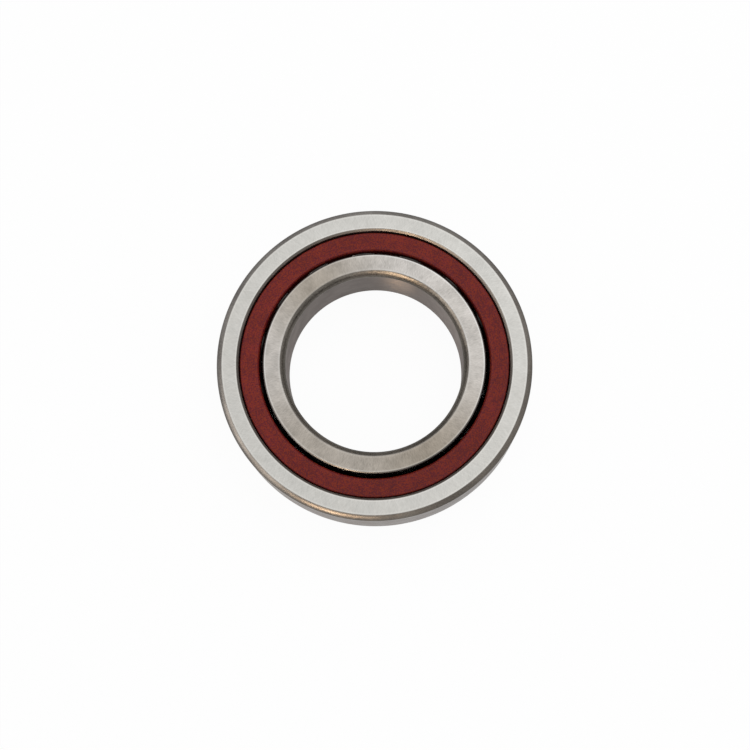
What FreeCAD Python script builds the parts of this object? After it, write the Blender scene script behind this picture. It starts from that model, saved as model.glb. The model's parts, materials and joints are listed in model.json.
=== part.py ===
# Single-row angular contact ball bearing with a machined one-piece cage that runs on the outer ring.
#
# Frame: origin on the bearing axis, in the plane of the lower faces. +Z is the axis, towards the back
# face of the outer ring. Lengths are in millimetres and angles in degrees.
#
# The load path runs up and outwards through each ball: the outer ring has its high shoulder above the
# balls and a counterbore below them. One ball sits on +Y, and the others follow at equal steps.

import FreeCAD, Part
import math
import os
import Sketcher

PARTS_FOLDER = "parts"
FULL_TURN = 360.0
CUT_AT_LEAST = 0.01  # mm3 that every cutting feature has to remove

# Driving dimensions: alias, value, what it is.
SIZES = [
    ("bore_diameter", 35.0, "shaft seat in the inner ring"),
    ("section_height", 13.5, "from the shaft seat out to the housing seat"),
    ("ring_width", 14.0, "width of both rings along the axis"),
    ("ball_diameter", 7.938, "each ball"),
    ("ball_count", 15, "balls in the row, evenly spaced"),
    ("contact_angle", 25.0, "slope of the load line through a ball, from the radial plane"),
    ("race_clearance", 0.03, "gap between ball and raceway at the contact point, no load"),
    ("outer_conformity", 0.52, "outer raceway radius over ball diameter"),
    ("inner_conformity", 0.52, "inner raceway radius over ball diameter"),
    ("outer_shoulder", 1.61, "height of the outer ring's high shoulder above its groove bottom"),
    ("inner_shoulder", 1.61, "height of the inner ring's shoulders above its groove bottom"),
    ("retaining_lip", 0.10, "height of the lip between outer raceway and counterbore"),
    ("counterbore_taper", 3.0, "slope of the counterbore, opening towards the lower face"),
    ("housing_corner_radial", 1.05, "outer ring's upper outside corner, along the face"),
    ("housing_corner_axial", 1.15, "outer ring's upper outside corner, along the axis"),
    ("lower_housing_corner", 0.80, "outer ring's lower outside corner, both ways"),
    ("shaft_corner_radial", 1.00, "inner ring's upper bore corner, along the face"),
    ("shaft_corner_axial", 1.60, "inner ring's upper bore corner, along the axis"),
    ("lower_shaft_corner", 1.00, "inner ring's lower bore corner, both ways"),
    ("upper_corner_bulge", 0.10, "rise of an upper rounded corner over its chord"),
    ("lower_corner_bulge", 0.15, "rise of a lower rounded corner over its chord"),
    ("outer_land_chamfer", 0.40, "edge break between a face and the outer ring's bore"),
    ("inner_land_chamfer", 0.22, "edge break between a face and the inner ring's lands"),
    ("cage_recess", 0.95, "how far the cage's end faces lie inside the ring faces"),
    ("cage_guide_clearance", 0.23, "gap between the cage and the outer ring's high shoulder"),
    ("cage_inner_clearance", 0.87, "gap between the cage and the inner ring's lands"),
    ("cage_outer_chamfer", 0.15, "edge break on the cage's outside"),
    ("cage_inner_chamfer", 0.28, "edge break on the cage's inside"),
    ("pocket_clearance", 0.15, "gap between a ball and its pocket's wall"),
]

# Values worked out from the driving dimensions: alias, formula.
DERIVED = [
    ("bore_radius", "Sizes.bore_diameter / 2"),
    ("housing_radius", "bore_radius + Sizes.section_height"),
    ("pitch_radius", "bore_radius + Sizes.section_height / 2"),
    ("ball_radius", "Sizes.ball_diameter / 2"),
    ("mid_height", "Sizes.ring_width / 2"),
    ("load_cos", "cos(Sizes.contact_angle * 1 deg)"),
    ("load_sin", "sin(Sizes.contact_angle * 1 deg)"),
    ("outer_groove_radius", "Sizes.outer_conformity * Sizes.ball_diameter"),
    ("inner_groove_radius", "Sizes.inner_conformity * Sizes.ball_diameter"),
    ("outer_groove_shift", "outer_groove_radius - ball_radius - Sizes.race_clearance"),
    ("inner_groove_shift", "inner_groove_radius - ball_radius - Sizes.race_clearance"),
    ("outer_groove_centre_r", "pitch_radius - outer_groove_shift * load_cos"),
    ("outer_groove_centre_z", "mid_height - outer_groove_shift * load_sin"),
    ("inner_groove_centre_r", "pitch_radius + inner_groove_shift * load_cos"),
    ("inner_groove_centre_z", "mid_height + inner_groove_shift * load_sin"),
    ("outer_groove_bottom", "outer_groove_centre_r + outer_groove_radius"),
    ("inner_groove_bottom", "inner_groove_centre_r - inner_groove_radius"),
    ("outer_land_radius", "outer_groove_bottom - Sizes.outer_shoulder"),
    ("inner_land_radius", "inner_groove_bottom + Sizes.inner_shoulder"),
    ("lip_radius", "outer_groove_bottom - Sizes.retaining_lip"),
    ("lip_height", "outer_groove_centre_z"
     " - sqrt(outer_groove_radius^2 - (lip_radius - outer_groove_centre_r)^2)"),
    ("counterbore_radius", "lip_radius + lip_height * tan(Sizes.counterbore_taper * 1 deg)"),
    ("cage_outer_radius", "outer_land_radius - Sizes.cage_guide_clearance"),
    ("cage_inner_radius", "inner_land_radius + Sizes.cage_inner_clearance"),
    ("cage_top", "Sizes.ring_width - Sizes.cage_recess"),
    ("pocket_radius", "ball_radius + Sizes.pocket_clearance"),
]


def make_sheets(doc):
    """Writes the driving dimensions and the values worked out from them."""
    sizes = doc.addObject("Spreadsheet::Sheet", "Sizes")
    for row, (alias, value, meaning) in enumerate(SIZES, start=1):
        sizes.set(f"A{row}", meaning)
        sizes.set(f"B{row}", str(value))
        sizes.setAlias(f"B{row}", alias)
    doc.recompute()
    derived = doc.addObject("Spreadsheet::Sheet", "Derived")
    for row, (alias, formula) in enumerate(DERIVED, start=1):
        derived.set(f"A{row}", alias.replace("_", " "))
        derived.setAlias(f"B{row}", alias)
        derived.set(f"B{row}", "=" + formula)
    doc.recompute()
    return sizes


def origin_plane(body, role):
    """The body's own origin plane or axis with that role, such as XZ_Plane."""
    return next(feature for feature in body.Origin.OriginFeatures if feature.Role == role)


def new_body(doc, label):
    """An empty body whose label is the name of its piece."""
    body = doc.addObject("PartDesign::Body", "Body_" + label)
    body.Label = label
    return body


def new_sketch(body, name):
    """A sketch in the half plane through the axis: radius along its X, height along its Y."""
    sketch = body.newObject("Sketcher::SketchObject", name)
    sketch.AttachmentSupport = [(origin_plane(body, "XZ_Plane"), "")]
    sketch.MapMode = "FlatFace"
    return sketch


def bind(sketch, constraint, name, formula):
    """Adds a dimension under that name, with its value tied to a formula of the sheets."""
    index = sketch.addConstraint(constraint)
    sketch.renameConstraint(index, name)
    sketch.setExpression("Constraints." + name, formula)


def draw_outline(sketch, corners):
    """Draws a closed outline through corners given as (name, radius, height, arc radius).

    Radius and height are formulas. A corner with an arc radius is joined to the next one by an arc
    that bulges to the right of the way there; the others are joined by straight lines.
    """
    value = sketch.evalExpression
    places = [FreeCAD.Vector(value(r), value(z), 0) for _, r, z, _ in corners]
    for i, (name, _, _, arc_radius) in enumerate(corners):
        start, end = places[i], places[(i + 1) % len(places)]
        if arc_radius is None:
            sketch.addGeometry(Part.LineSegment(start, end))
        else:
            sketch.addGeometry(bulging_arc(start, end, value(arc_radius)))
            bind(sketch, Sketcher.Constraint("Radius", i, value(arc_radius)),
                 name + "_arc", arc_radius)
    for i, (name, r, z, _) in enumerate(corners):
        before = (i - 1) % len(corners)
        sketch.addConstraint(Sketcher.Constraint("Coincident", before, 2, i, 1))
        bind(sketch, Sketcher.Constraint("DistanceX", -1, 1, i, 1, places[i].x), name + "_r", r)
        if z == "0":
            sketch.addConstraint(Sketcher.Constraint("PointOnObject", i, 1, -1))
        else:
            bind(sketch, Sketcher.Constraint("DistanceY", -1, 1, i, 1, places[i].y), name + "_z", z)


def bulging_arc(start, end, radius):
    """The arc of that radius from start to end that bulges to the right of the way there."""
    chord = end - start
    half = chord.Length / 2
    right = FreeCAD.Vector(chord.y, -chord.x, 0).normalize()
    sagitta = radius - math.sqrt(radius**2 - half**2)
    middle = (start + end) * 0.5 + right * sagitta
    return Part.Arc(start, middle, end)


def turn(body, sketch, name):
    """Turns the sketch once round the bearing axis into solid material."""
    revolution = body.newObject("PartDesign::Revolution", name)
    revolution.Profile = sketch
    revolution.ReferenceAxis = (sketch, ["V_Axis"])
    revolution.Angle = FULL_TURN
    body.Document.recompute()
    return revolution


def cut(body, kind, name, sketch):
    """Adds a Groove round the axis, or a Pocket that runs from the axis out along +Y."""
    volume = body.Shape.Volume
    feature = body.newObject("PartDesign::" + kind, name)
    feature.Profile = sketch
    if kind == "Groove":
        feature.ReferenceAxis = (sketch, ["V_Axis"])
        feature.Angle = FULL_TURN
    else:
        feature.Type = "ThroughAll"
    body.Document.recompute()
    if volume - body.Shape.Volume < CUT_AT_LEAST:
        raise RuntimeError(f"{name} removed nothing from {body.Label}")
    return feature


def corner_arc(radial, axial, bulge):
    """The radius of a rounded corner that takes this much off along the face and along the axis."""
    return f"sqrt({radial}^2 + {axial}^2) * (1 / (8 * {bulge}) + {bulge} / 2)"


def make_outer_ring(doc):
    """The ring that sits in the housing."""
    body = new_body(doc, "outer_ring")
    upper_arc = corner_arc(
        "Sizes.housing_corner_radial", "Sizes.housing_corner_axial", "Sizes.upper_corner_bulge")
    lower_arc = corner_arc(
        "Sizes.lower_housing_corner", "Sizes.lower_housing_corner", "Sizes.lower_corner_bulge")
    seat_r = "Derived.housing_radius"
    land_r = "Derived.outer_land_radius"
    break_r = "Derived.outer_land_radius + Sizes.outer_land_chamfer"
    blank = new_sketch(body, "outer_ring_blank")
    draw_outline(blank, [
        ("lower_face_outer", "Derived.housing_radius - Sizes.lower_housing_corner", "0", lower_arc),
        ("seat_lower", seat_r, "Sizes.lower_housing_corner", None),
        ("seat_upper", seat_r, "Sizes.ring_width - Sizes.housing_corner_axial", upper_arc),
        ("back_face_outer", "Derived.housing_radius - Sizes.housing_corner_radial",
         "Sizes.ring_width", None),
        ("back_face_inner", break_r, "Sizes.ring_width", None),
        ("land_upper", land_r, "Sizes.ring_width - Sizes.outer_land_chamfer", None),
        ("land_lower", land_r, "Sizes.outer_land_chamfer", None),
        ("lower_face_inner", break_r, "0", None),
    ])
    turn(body, blank, "outer_ring_turned")

    bored = new_sketch(body, "counterbore_section")
    draw_outline(bored, [
        ("bore_lower", "Derived.pitch_radius", "0", None),
        ("mouth", "Derived.counterbore_radius + Sizes.outer_land_chamfer", "0", None),
        ("mouth_edge", "Derived.counterbore_radius", "Sizes.outer_land_chamfer", None),
        ("lip", "Derived.lip_radius", "Derived.lip_height", None),
        ("bore_upper", "Derived.pitch_radius", "Derived.lip_height", None),
    ])
    cut(body, "Groove", "counterbore", bored)
    grind_raceway(body, "outer")
    return body


def make_inner_ring(doc):
    """The ring that sits on the shaft."""
    body = new_body(doc, "inner_ring")
    upper_arc = corner_arc(
        "Sizes.shaft_corner_radial", "Sizes.shaft_corner_axial", "Sizes.upper_corner_bulge")
    lower_arc = corner_arc(
        "Sizes.lower_shaft_corner", "Sizes.lower_shaft_corner", "Sizes.lower_corner_bulge")
    land_r = "Derived.inner_land_radius"
    break_r = "Derived.inner_land_radius - Sizes.inner_land_chamfer"
    blank = new_sketch(body, "inner_ring_blank")
    draw_outline(blank, [
        ("lower_face_outer", break_r, "0", None),
        ("land_lower", land_r, "Sizes.inner_land_chamfer", None),
        ("land_upper", land_r, "Sizes.ring_width - Sizes.inner_land_chamfer", None),
        ("upper_face_outer", break_r, "Sizes.ring_width", None),
        ("upper_face_inner", "Derived.bore_radius + Sizes.shaft_corner_radial", "Sizes.ring_width",
         upper_arc),
        ("seat_upper", "Derived.bore_radius", "Sizes.ring_width - Sizes.shaft_corner_axial", None),
        ("seat_lower", "Derived.bore_radius", "Sizes.lower_shaft_corner", lower_arc),
        ("lower_face_inner", "Derived.bore_radius + Sizes.lower_shaft_corner", "0", None),
    ])
    turn(body, blank, "inner_ring_turned")
    grind_raceway(body, "inner")
    return body


def grind_raceway(body, ring):
    """Cuts a ring's raceway: a circle a little larger than the ball, leant towards the load line."""
    section = new_sketch(body, ring + "_raceway_section")
    centre_r = f"Derived.{ring}_groove_centre_r"
    centre_z = f"Derived.{ring}_groove_centre_z"
    groove_radius = f"Derived.{ring}_groove_radius"
    value = section.evalExpression
    centre = FreeCAD.Vector(value(centre_r), value(centre_z), 0)
    section.addGeometry(Part.Circle(centre, FreeCAD.Vector(0, 0, 1), value(groove_radius)))
    bind(section, Sketcher.Constraint("DistanceX", -1, 1, 0, 3, centre.x), "centre_r", centre_r)
    bind(section, Sketcher.Constraint("DistanceY", -1, 1, 0, 3, centre.y), "centre_z", centre_z)
    bind(section, Sketcher.Constraint("Radius", 0, value(groove_radius)), "groove", groove_radius)
    cut(body, "Groove", ring + "_raceway", section)


def make_cage(doc):
    """The one-piece cage: a turned ring with a drilled pocket for each ball."""
    body = new_body(doc, "cage")
    outer_r = "Derived.cage_outer_radius"
    outer_break_r = "Derived.cage_outer_radius - Sizes.cage_outer_chamfer"
    inner_r = "Derived.cage_inner_radius"
    inner_break_r = "Derived.cage_inner_radius + Sizes.cage_inner_chamfer"
    blank = new_sketch(body, "cage_blank")
    draw_outline(blank, [
        ("lower_face_outer", outer_break_r, "Sizes.cage_recess", None),
        ("guide_lower", outer_r, "Sizes.cage_recess + Sizes.cage_outer_chamfer", None),
        ("guide_upper", outer_r, "Derived.cage_top - Sizes.cage_outer_chamfer", None),
        ("upper_face_outer", outer_break_r, "Derived.cage_top", None),
        ("upper_face_inner", inner_break_r, "Derived.cage_top", None),
        ("inside_upper", inner_r, "Derived.cage_top - Sizes.cage_inner_chamfer", None),
        ("inside_lower", inner_r, "Sizes.cage_recess + Sizes.cage_inner_chamfer", None),
        ("lower_face_inner", inner_break_r, "Sizes.cage_recess", None),
    ])
    turn(body, blank, "cage_turned")

    drill = new_sketch(body, "pocket_section")
    height = drill.evalExpression("Derived.mid_height")
    radius = drill.evalExpression("Derived.pocket_radius")
    drill.addGeometry(Part.Circle(FreeCAD.Vector(0, height, 0), FreeCAD.Vector(0, 0, 1), radius))
    drill.addConstraint(Sketcher.Constraint("PointOnObject", 0, 3, -2))
    bind(drill, Sketcher.Constraint("DistanceY", -1, 1, 0, 3, height), "height", "Derived.mid_height")
    bind(drill, Sketcher.Constraint("Radius", 0, radius), "pocket", "Derived.pocket_radius")
    pocket = cut(body, "Pocket", "pocket", drill)

    volume = body.Shape.Volume
    row = body.newObject("PartDesign::PolarPattern", "pocket_row")
    row.Originals = [pocket]
    row.Axis = (origin_plane(body, "Z_Axis"), [""])
    row.Angle = FULL_TURN
    row.setExpression("Occurrences", "Sizes.ball_count")
    body.Tip = row
    doc.recompute()
    if volume - body.Shape.Volume < CUT_AT_LEAST:
        raise RuntimeError("the pocket row removed nothing from the cage")
    return body


def make_ball(doc, number):
    """One ball, in the pocket that lies number - 1 steps round from +Y."""
    ball = doc.addObject("Part::Sphere", f"ball_{number:02d}")
    ball.Label = ball.Name
    ball.setExpression("Radius", "Derived.ball_radius")
    turned = f"(90 deg + {number - 1} * 360 deg / Sizes.ball_count)"
    ball.setExpression("Placement.Base.x", f"Derived.pitch_radius * cos({turned})")
    ball.setExpression("Placement.Base.y", f"Derived.pitch_radius * sin({turned})")
    ball.setExpression("Placement.Base.z", "Derived.mid_height")
    return ball


def check(doc, pieces):
    """Stops the build if an object failed to recompute or a piece isn't one valid solid."""
    for item in doc.Objects:
        if {"Invalid", "Error"} & set(item.State):
            raise RuntimeError(f"{item.Label} failed: {item.State}")
    for piece in pieces:
        shape = piece.Shape
        if shape.isNull() or not shape.isValid() or len(shape.Solids) != 1:
            raise RuntimeError(f"{piece.Label} isn't one valid solid")


def main():
    """Builds the document, checks it and writes one STEP file for each piece."""
    doc = FreeCAD.newDocument("angular_contact_bearing")
    sizes = make_sheets(doc)
    pieces = [make_outer_ring(doc), make_inner_ring(doc), make_cage(doc)]
    pieces += [make_ball(doc, number) for number in range(1, int(sizes.ball_count) + 1)]
    doc.recompute()
    check(doc, pieces)
    os.makedirs(PARTS_FOLDER, exist_ok=True)
    for piece in pieces:
        piece.Shape.exportStep(os.path.join(PARTS_FOLDER, piece.Label + ".step"))
        print(f"{piece.Label}: {piece.Shape.Volume:.2f} mm3")


main()
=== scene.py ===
"""The looks of a single-row angular contact ball bearing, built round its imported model.

Lengths are in metres in the frame's axes: the bearing's axis is +Z, and its lower faces lie in the
plane of the origin. Sections are drawn in a half plane, as (radius, height). Finishes say where they
count in millimetres instead.
"""

import json
import logging
import math
from dataclasses import dataclass, field
from enum import Enum
from typing import Any

import bmesh
import bpy
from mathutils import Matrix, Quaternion, Vector


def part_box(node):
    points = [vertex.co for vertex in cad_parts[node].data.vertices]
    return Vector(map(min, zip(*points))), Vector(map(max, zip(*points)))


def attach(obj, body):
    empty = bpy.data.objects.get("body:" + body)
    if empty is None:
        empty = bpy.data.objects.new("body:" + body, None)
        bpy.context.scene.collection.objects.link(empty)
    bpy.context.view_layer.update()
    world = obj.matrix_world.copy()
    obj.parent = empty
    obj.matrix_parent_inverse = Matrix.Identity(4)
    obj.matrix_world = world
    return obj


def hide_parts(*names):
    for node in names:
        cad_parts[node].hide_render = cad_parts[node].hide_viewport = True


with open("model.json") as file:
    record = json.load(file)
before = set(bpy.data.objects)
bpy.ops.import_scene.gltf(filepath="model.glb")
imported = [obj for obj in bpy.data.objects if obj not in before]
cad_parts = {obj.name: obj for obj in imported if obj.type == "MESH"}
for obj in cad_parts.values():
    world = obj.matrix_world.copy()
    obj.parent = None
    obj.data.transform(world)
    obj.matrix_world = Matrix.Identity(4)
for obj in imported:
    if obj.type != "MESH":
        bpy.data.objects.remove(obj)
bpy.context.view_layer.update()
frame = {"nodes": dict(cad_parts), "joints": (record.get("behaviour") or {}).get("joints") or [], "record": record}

MM = 0.001
log = logging.getLogger("bearing")

Colour = tuple[float, float, float]
Point = tuple[float, float]
Place = tuple[float, float, float]
Socket = bpy.types.NodeSocket


# --- Sections and the surfaces turned from them -----------------------------------------------------


class Zone(Enum):
    """The differently finished zones of a ring's surface."""

    FACE = "face"
    SEAT = "seat"
    CORNER = "corner"
    EDGE_BREAK = "edge_break"
    LAND = "land"
    RACEWAY = "raceway"
    COUNTERBORE = "counterbore"
    RIM = "rim"


@dataclass(frozen=True)
class Stretch:
    """One stretch of a section, from where the last one ended.

    The bulge is the rise of an arc over its chord: 0 is straight, above 0 stands out of the material
    and below 0 is hollow. The ease is the length that rounding takes off each side of its end.
    """

    end: Point
    zone: Zone
    bulge: float = 0.0
    ease: float = 0.0
    steps: int = 1


@dataclass(frozen=True)
class Section:
    """A line of stretches with the material on its left, closed or open."""

    start: Point
    stretches: tuple[Stretch, ...]
    closed: bool = True
    round_steps: int = 5

    def outline(self) -> tuple[list[Point], list[Zone]]:
        """Works out the points of the eased line.

        Returns:
            The points in order, and the zone of the strip from each point to the next one.
        """
        points: list[Point] = []
        zones: list[Zone] = []
        count = len(self.stretches)
        for i, stretch in enumerate(self.stretches):
            start = self.stretches[i - 1].end if i else self.start
            length = arc_length(start, stretch.end, stretch.bulge)
            eased_before = self.stretches[i - 1].ease if i or self.closed else 0.0
            first = eased_before / length
            last = 1 - stretch.ease / length
            for step in range(stretch.steps + 1):
                share = first + (last - first) * step / stretch.steps
                points.append(point_along(start, stretch.end, stretch.bulge, share))
                zones.append(stretch.zone)
            if stretch.ease and (self.closed or i < count - 1):
                following = self.stretches[(i + 1) % count]
                onward = stretch.ease / arc_length(stretch.end, following.end, following.bulge)
                away = point_along(stretch.end, following.end, following.bulge, onward)
                points += eased_corner(points[-1], stretch.end, away, self.round_steps)
                zones[-1] = Zone.RIM
                zones += [Zone.RIM] * (self.round_steps - 1)
            elif i < count - 1 or self.closed:
                points.pop()
                zones.pop()
        return points, zones


def point_along(start: Point, end: Point, bulge: float, share: float) -> Point:
    """Finds a point on a straight or bulging stretch.

    Args:
        start: Where the stretch starts.
        end: Where it ends.
        bulge: Its rise over its chord, to the right of the way there.
        share: How far along it the point lies, from 0 to 1.

    Returns:
        The point.
    """
    ahead = (end[0] - start[0], end[1] - start[1])
    if bulge == 0:
        return start[0] + ahead[0] * share, start[1] + ahead[1] * share
    half_turn = 2 * math.atan(2 * bulge)
    turn = half_turn * (2 * share - 1)
    run = (math.sin(turn) / math.sin(half_turn) + 1) / 2
    rise = (math.cos(turn) - math.cos(half_turn)) / (2 * math.sin(half_turn))
    return (
        start[0] + ahead[0] * run + ahead[1] * rise,
        start[1] + ahead[1] * run - ahead[0] * rise,
    )


def arc_length(start: Point, end: Point, bulge: float) -> float:
    """Works out the length of a straight or bulging stretch.

    Args:
        start: Where the stretch starts.
        end: Where it ends.
        bulge: Its rise over its chord.

    Returns:
        Its length.
    """
    chord = math.dist(start, end)
    half_turn = 2 * math.atan(2 * bulge)
    return chord * half_turn / math.sin(half_turn) if bulge else chord


def eased_corner(before: Point, corner: Point, after: Point, steps: int) -> list[Point]:
    """Rounds a corner with a curve that leaves both sides smoothly.

    Args:
        before: The last point before the corner.
        corner: The sharp corner.
        after: The first point after it.
        steps: How many strips the curve has.

    Returns:
        The points between before and after, without either.
    """
    return [curved(step / steps, before, corner, after) for step in range(1, steps)]


def curved(share: float, *leading: tuple[float, ...]) -> tuple[float, ...]:
    """Finds a point on the smooth curve that three points lead.

    Args:
        share: How far along the curve it lies, from 0 to 1.
        leading: The curve's start, the corner that it rounds and its end.

    Returns:
        The point.
    """
    weights = ((1 - share) ** 2, 2 * share * (1 - share), share**2)
    return tuple(sum(w * value for w, value in zip(weights, values)) for values in zip(*leading))


def finished_object(
    name: str, mesh: bmesh.types.BMesh, materials: list[bpy.types.Material]
) -> bpy.types.Object:
    """Turns built faces into a smooth object.

    Args:
        name: The piece's name.
        mesh: Its faces. It is freed here.
        materials: Its materials, in the order that the faces number them.

    Returns:
        The object, with large faces kept flat next to rounded edges.
    """
    bmesh.ops.recalc_face_normals(mesh, faces=mesh.faces)
    data = bpy.data.meshes.new(name)
    mesh.to_mesh(data)
    mesh.free()
    data.shade_smooth()
    for material in materials:
        data.materials.append(material)
    piece = bpy.data.objects.new(name, data)
    bpy.context.scene.collection.objects.link(piece)
    weighted = piece.modifiers.new("flat_faces", "WEIGHTED_NORMAL")
    weighted.mode = "FACE_AREA"
    return piece


def turned_piece(
    name: str, section: Section, finishes: dict[Zone, "SteelFinish"], segments: int
) -> bpy.types.Object:
    """Turns a closed section round the bearing's axis.

    Args:
        name: The piece's name.
        section: The closed section.
        finishes: The finish of each zone in it.
        segments: How many steps the turn has.

    Returns:
        The turned object, with one material for each zone.
    """
    points, zones = section.outline()
    used = [zone for zone in Zone if zone in zones]
    mesh = bmesh.new()
    rings = []
    for radius, height in points:
        ring = []
        for segment in range(segments):
            angle = math.tau * segment / segments
            ring.append(mesh.verts.new((radius * math.cos(angle), radius * math.sin(angle), height)))
        rings.append(ring)
    for i, zone in enumerate(zones):
        here, there = rings[i], rings[(i + 1) % len(rings)]
        for segment in range(segments):
            onward = (segment + 1) % segments
            face = mesh.faces.new((here[segment], here[onward], there[onward], there[segment]))
            face.material_index = used.index(zone)
    return finished_object(name, mesh, [finishes[zone].build() for zone in used])


# --- Finishes ---------------------------------------------------------------------------------------

MARK_RADIUS = 25.0  # mm: the radius at which a finish's pitch and run are true
LAY_SKEW = 0.02  # radians a millimetre: how far a face-grinding mark leans from the radial way
BACK_SKEW = -0.7  # the lean of the second way of face-grinding marks, in leans of the first
CROSS_HEIGHT = 1.37  # height counted against radius across marks that run round the axis
# Painted light and shade: the slow swells of tone round a ring stand in for how the light falls.
PAINTED_LIGHT_SHARES = (0.87, 1.0, 1.2)  # how much of a slow tone change red, green and blue each take
MOTTLE_GAIN = 3.0  # how far a full mottle moves the share of the light colour
SMEAR_SCALE = 0.35  # smears in a millimetre, in which steel is duller or brighter
SMEAR_RANGE = (0.3, 0.7)  # the smears' noise that gives the least and the most roughness
MIX_SOCKETS = (0, 6, 7)  # a colour Mix node's share, first colour and second colour
MIX_RESULT = 2  # and its mixed colour


def empty_tree(owner: bpy.types.Material | bpy.types.World) -> bpy.types.NodeTree:
    """Gives a material or a world a node tree with nothing in it.

    Args:
        owner: The material or the world.

    Returns:
        Its tree.
    """
    owner.use_nodes = True
    owner.node_tree.nodes.clear()
    return owner.node_tree


def add_node(
    tree: bpy.types.NodeTree, kind: str, inputs: dict[str | int, Any] | None = None, **settings: Any
) -> bpy.types.Node:
    """Adds a node to a tree.

    Args:
        tree: The tree.
        kind: The node's Blender type.
        inputs: What goes into its sockets: a value, or another node's output.
        settings: Its properties.

    Returns:
        The node.
    """
    node = tree.nodes.new(kind)
    for key, value in settings.items():
        setattr(node, key, value)
    for key, value in (inputs or {}).items():
        if isinstance(value, bpy.types.NodeSocket):
            tree.links.new(value, node.inputs[key])
        else:
            node.inputs[key].default_value = value
    return node


@dataclass(frozen=True)
class PaintedLightWave:
    """Painted light and shade: a slow change of tone round a ring, where the light falls brighter or dimmer. How
    many times it comes, how strong, and one peak's azimuth.
    """

    count: int
    strength: float
    peak: float


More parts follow.
